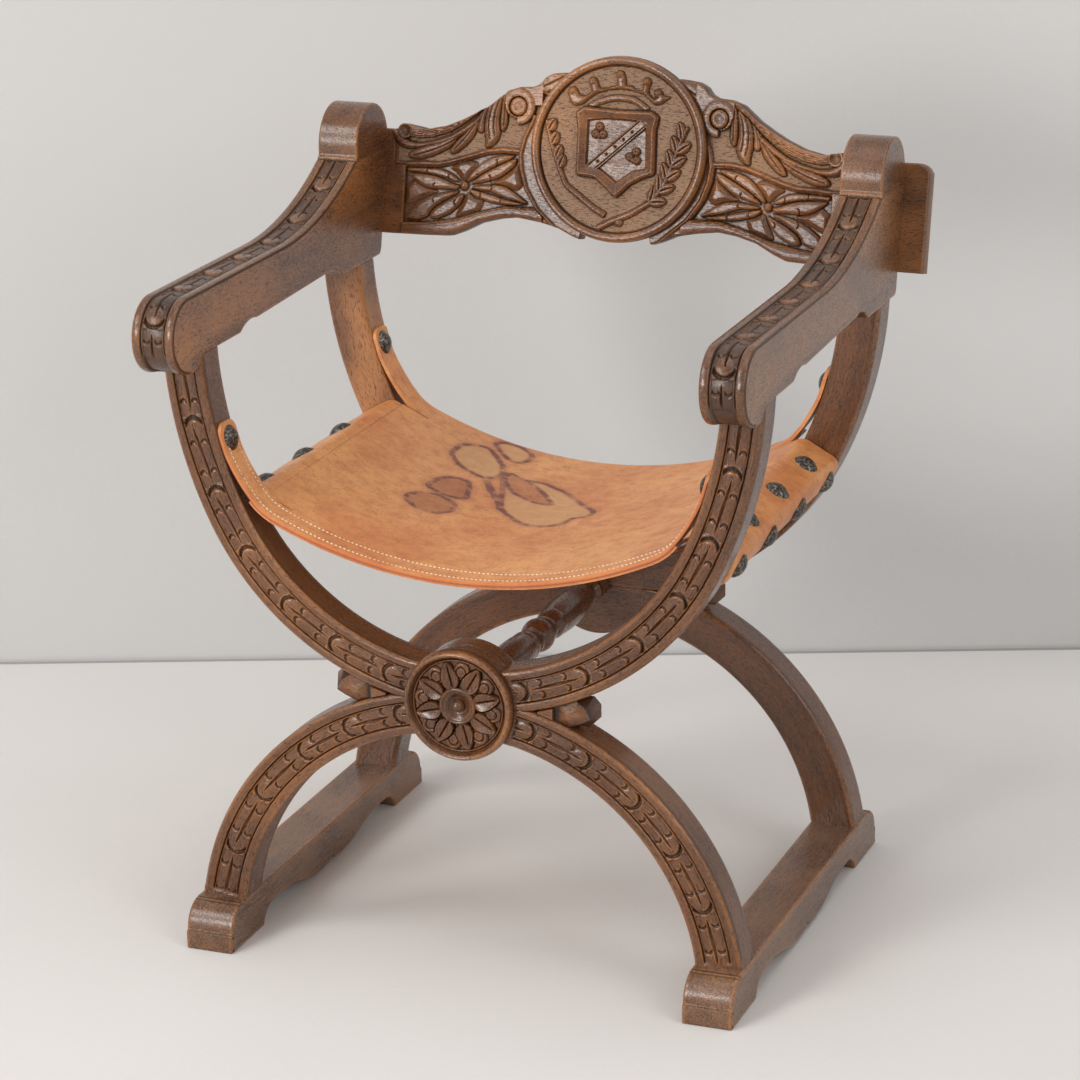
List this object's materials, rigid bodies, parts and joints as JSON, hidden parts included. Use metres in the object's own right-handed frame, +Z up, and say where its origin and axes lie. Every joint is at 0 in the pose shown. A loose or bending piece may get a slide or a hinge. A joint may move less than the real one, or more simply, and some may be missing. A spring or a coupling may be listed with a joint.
{
  "type": "savonarola chair",
  "caption": "Folding X-frame armchair with curved carved legs, sledge feet, scrolled arms, a leather sling seat and a carved back board.",
  "frame": {"origin": "centre of the bounding box, on the floor", "axes": "+Z up, +Y to the back of the chair, +X to the right of the picture"},
  "size_m": [0.718, 0.6049, 0.9003],
  "materials": {
    "carved_wood": "worn satin wax over dark stained carving",
    "leather": "worn tan hide, satin",
    "nail_iron": "dark hammered",
    "peg_steel": "plain"
  },
  "bodies": {
    "frame_a": {"front_upper_left_leg": "carved_wood", "rear_upper_left_leg": "carved_wood", "front_lower_right_leg": "carved_wood", "rear_lower_right_leg": "carved_wood", "left_arm": "carved_wood", "left_front_arm_dowel": "carved_wood", "left_rear_arm_dowel": "carved_wood", "right_foot_runner": "carved_wood", "right_front_foot_dowel": "carved_wood", "right_rear_foot_dowel": "carved_wood", "front_left_stop_wedge": "carved_wood", "front_right_stop_wedge": "carved_wood", "rear_left_stop_wedge": "carved_wood", "rear_right_stop_wedge": "carved_wood", "pivot_rod": "carved_wood", "front_rosette": "carved_wood", "rear_hub_cover": "carved_wood", "left_seat_rail": "carved_wood", "left_rail_leather": "leather", "left_top_nail_1": "nail_iron", "left_top_nail_2": "nail_iron", "left_top_nail_3": "nail_iron", "left_side_nail_1": "nail_iron", "left_side_nail_2": "nail_iron", "left_side_nail_3": "nail_iron", "left_side_nail_4": "nail_iron", "left_front_tab_nail": "nail_iron", "left_rear_tab_nail": "nail_iron", "left_back_peg": "peg_steel", "seat_leather": "leather"},
    "frame_b": {"front_upper_right_leg": "carved_wood", "rear_upper_right_leg": "carved_wood", "front_lower_left_leg": "carved_wood", "rear_lower_left_leg": "carved_wood", "right_arm": "carved_wood", "right_front_arm_dowel": "carved_wood", "right_rear_arm_dowel": "carved_wood", "left_foot_runner": "carved_wood", "left_front_foot_dowel": "carved_wood", "left_rear_foot_dowel": "carved_wood", "right_seat_rail": "carved_wood", "right_rail_leather": "leather", "right_top_nail_1": "nail_iron", "right_top_nail_2": "nail_iron", "right_top_nail_3": "nail_iron", "right_side_nail_1": "nail_iron", "right_side_nail_2": "nail_iron", "right_side_nail_3": "nail_iron", "right_side_nail_4": "nail_iron", "right_front_tab_nail": "nail_iron", "right_rear_tab_nail": "nail_iron", "right_back_peg": "peg_steel"},
    "backrest": {"back_board": "carved_wood", "medallion": "carved_wood"}
  },
  "joints": [
    {"name": "fold", "type": "hinge", "parent": "frame_a", "child": "frame_b", "pos_m": [0, 0, 0.308], "axis": [0, -1, 0], "range_deg": [0, 55], "deforming": ["seat_leather"]},
    {"name": "backrest_lift", "type": "slide", "parent": "frame_a", "child": "backrest", "axis": [0, 0.2164, 0.9763], "range_m": [0, 0.12]}
  ]
}
